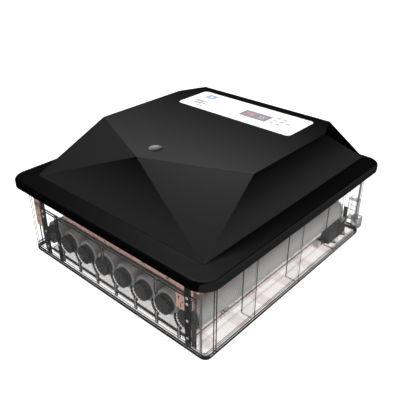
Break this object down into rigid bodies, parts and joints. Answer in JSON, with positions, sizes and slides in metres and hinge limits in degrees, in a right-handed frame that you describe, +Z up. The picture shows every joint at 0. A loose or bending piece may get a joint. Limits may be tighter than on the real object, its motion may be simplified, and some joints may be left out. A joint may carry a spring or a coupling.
{
  "type": "roller egg incubator",
  "caption": "Tabletop egg incubator: clear tub, geared roller bank that turns the eggs, and a faceted lift-off lid with control panel, fan and heater.",
  "frame": {"origin": "middle of the footprint, on the surface the feet rest on", "axes": "+Z up; +Y to the back, along the rollers; +X to the right seen from the front"},
  "size_m": [0.5, 0.54, 0.2518],
  "materials": {
    "clear_plastic": "clear moulded plastic, glossy",
    "tray_plastic": "pale frosted plastic",
    "smoked_plastic": "translucent grey plastic",
    "clear_rubber": "clear soft silicone",
    "rubber": "soft rubber",
    "dark_plastic": "dark moulded plastic",
    "steel": "plated steel",
    "pale_plastic": "pale plastic or ceramic",
    "black_plastic": "satin black moulded plastic",
    "white_film": "printed white overlay film",
    "display_lens": "dark tinted lens",
    "circuit_board": "circuit board and parts",
    "copper_plastic": "peach-copper moulded plastic",
    "heater_steel": "heat-tinted steel tube",
    "grey_plastic": "satin grey plastic",
    "key_plastic": "pale blue-grey keys"
  },
  "bodies": {
    "base": {"base_tub": "clear_plastic", "foot_pads": "clear_rubber", "water_filler": "clear_plastic", "water_tray": "tray_plastic", "roller_frame_front": "clear_plastic", "roller_frame_rear": "clear_plastic", "frame_rail_left": "clear_plastic", "frame_rail_right": "clear_plastic", "front_posts": "dark_plastic", "post_screws": "steel", "gearmotor_gearbox": "dark_plastic", "motor_screws": "steel", "motor_can": "dark_plastic", "motor_end_cap": "pale_plastic", "contact_block": "smoked_plastic"},
    "rack": {"turner_rack": "dark_plastic"},
    "pinion": {"drive_pinion": "pale_plastic"},
    "roller_1": {"roller_tube_1": "grey_plastic", "roller_ends_1": "dark_plastic"},
    "roller_2": {"roller_tube_2": "grey_plastic", "roller_ends_2": "dark_plastic"},
    "roller_3": {"roller_tube_3": "grey_plastic", "roller_ends_3": "dark_plastic"},
    "roller_4": {"roller_tube_4": "grey_plastic", "roller_ends_4": "dark_plastic"},
    "roller_5": {"roller_tube_5": "grey_plastic", "roller_ends_5": "dark_plastic"},
    "roller_6": {"roller_tube_6": "grey_plastic", "roller_ends_6": "dark_plastic"},
    "roller_7": {"roller_tube_7": "grey_plastic", "roller_ends_7": "dark_plastic"},
    "roller_8": {"roller_tube_8": "grey_plastic", "roller_ends_8": "dark_plastic"},
    "lid": {"lid_shell": "black_plastic", "panel_overlay": "white_film", "display_window": "display_lens", "display_module": "display_lens", "control_board": "circuit_board", "key_switches": "circuit_board", "indicator_lights": "pale_plastic", "power_board": "circuit_board", "power_inlet": "black_plastic", "lid_seal": "rubber", "lid_liner": "copper_plastic", "liner_screws": "steel", "fan_guard": "black_plastic", "fan_motor": "steel", "heater_ring": "heater_steel", "heater_brackets": "pale_plastic", "climate_probe": "pale_plastic"},
    "rotor": {"fan_rotor": "black_plastic"},
    "vent": {"vent_plug": "grey_plastic"},
    "key_1": {"key_button_1": "key_plastic"},
    "key_2": {"key_button_2": "key_plastic"},
    "key_3": {"key_button_3": "key_plastic"},
    "key_4": {"key_button_4": "key_plastic"},
    "key_5": {"key_button_5": "key_plastic"},
    "key_6": {"key_button_6": "key_plastic"},
    "key_7": {"key_button_7": "key_plastic"}
  },
  "joints": [
    {"name": "rack_slide", "type": "slide", "parent": "base", "child": "rack", "axis": [1, 0, 0], "range_m": [-0.017, 0.017]},
    {"name": "pinion_spin", "type": "hinge", "parent": "base", "child": "pinion", "pos_m": [0.19551, 0.229, 0.0229], "axis": [0, 1, 0], "range_deg": [-74.06, 74.06]},
    {"name": "roller_1_turn", "type": "hinge", "parent": "base", "child": "roller_1", "pos_m": [-0.186, 0, 0.047], "axis": [0, 1, 0], "range_deg": [-59.35, 59.35]},
    {"name": "roller_2_turn", "type": "hinge", "parent": "base", "child": "roller_2", "pos_m": [-0.134, 0, 0.047], "axis": [0, 1, 0], "range_deg": [-59.35, 59.35]},
    {"name": "roller_3_turn", "type": "hinge", "parent": "base", "child": "roller_3", "pos_m": [-0.082, 0, 0.047], "axis": [0, 1, 0], "range_deg": [-59.35, 59.35]},
    {"name": "roller_4_turn", "type": "hinge", "parent": "base", "child": "roller_4", "pos_m": [-0.03, 0, 0.047], "axis": [0, 1, 0], "range_deg": [-59.35, 59.35]},
    {"name": "roller_5_turn", "type": "hinge", "parent": "base", "child": "roller_5", "pos_m": [0.022, 0, 0.047], "axis": [0, 1, 0], "range_deg": [-59.35, 59.35]},
    {"name": "roller_6_turn", "type": "hinge", "parent": "base", "child": "roller_6", "pos_m": [0.074, 0, 0.047], "axis": [0, 1, 0], "range_deg": [-59.35, 59.35]},
    {"name": "roller_7_turn", "type": "hinge", "parent": "base", "child": "roller_7", "pos_m": [0.126, 0, 0.047], "axis": [0, 1, 0], "range_deg": [-59.35, 59.35]},
    {"name": "roller_8_turn", "type": "hinge", "parent": "base", "child": "roller_8", "pos_m": [0.178, 0, 0.047], "axis": [0, 1, 0], "range_deg": [-59.35, 59.35]},
    {"name": "lid_lift", "type": "slide", "parent": "base", "child": "lid", "axis": [0, 0, 1], "range_m": [0, 0.12]},
    {"name": "fan_spin", "type": "hinge", "parent": "lid", "child": "rotor", "pos_m": [0, 0, 0.141], "axis": [0, 0, 1], "continuous": true},
    {"name": "vent_pull", "type": "slide", "parent": "lid", "child": "vent", "axis": [0, 0, 1], "range_m": [0, 0.02]},
    {"name": "key_1_press", "type": "slide", "parent": "lid", "child": "key_1", "axis": [0, 0, -1], "range_m": [0, 0.0008], "stiffness_N_per_m": 400, "springref_m": -0.001},
    {"name": "key_2_press", "type": "slide", "parent": "lid", "child": "key_2", "axis": [0, 0, -1], "range_m": [0, 0.0008], "stiffness_N_per_m": 400, "springref_m": -0.001},
    {"name": "key_3_press", "type": "slide", "parent": "lid", "child": "key_3", "axis": [0, 0, -1], "range_m": [0, 0.0008], "stiffness_N_per_m": 400, "springref_m": -0.001},
    {"name": "key_4_press", "type": "slide", "parent": "lid", "child": "key_4", "axis": [0, 0, -1], "range_m": [0, 0.0008], "stiffness_N_per_m": 400, "springref_m": -0.001},
    {"name": "key_5_press", "type": "slide", "parent": "lid", "child": "key_5", "axis": [0, 0, -1], "range_m": [0, 0.0008], "stiffness_N_per_m": 400, "springref_m": -0.001},
    {"name": "key_6_press", "type": "slide", "parent": "lid", "child": "key_6", "axis": [0, 0, -1], "range_m": [0, 0.0008], "stiffness_N_per_m": 400, "springref_m": -0.001},
    {"name": "key_7_press", "type": "slide", "parent": "lid", "child": "key_7", "axis": [0, 0, -1], "range_m": [0, 0.0008], "stiffness_N_per_m": 400, "springref_m": -0.001}
  ],
  "couplings": [
    {"joint": "pinion_spin", "follows": "rack_slide", "rad_per_m": 75.519},
    {"joint": "roller_1_turn", "follows": "rack_slide", "rad_per_m": -60.415},
    {"joint": "roller_2_turn", "follows": "rack_slide", "rad_per_m": -60.415},
    {"joint": "roller_3_turn", "follows": "rack_slide", "rad_per_m": -60.415},
    {"joint": "roller_4_turn", "follows": "rack_slide", "rad_per_m": -60.415},
    {"joint": "roller_5_turn", "follows": "rack_slide", "rad_per_m": -60.415},
    {"joint": "roller_6_turn", "follows": "rack_slide", "rad_per_m": -60.415},
    {"joint": "roller_7_turn", "follows": "rack_slide", "rad_per_m": -60.415},
    {"joint": "roller_8_turn", "follows": "rack_slide", "rad_per_m": -60.415}
  ]
}
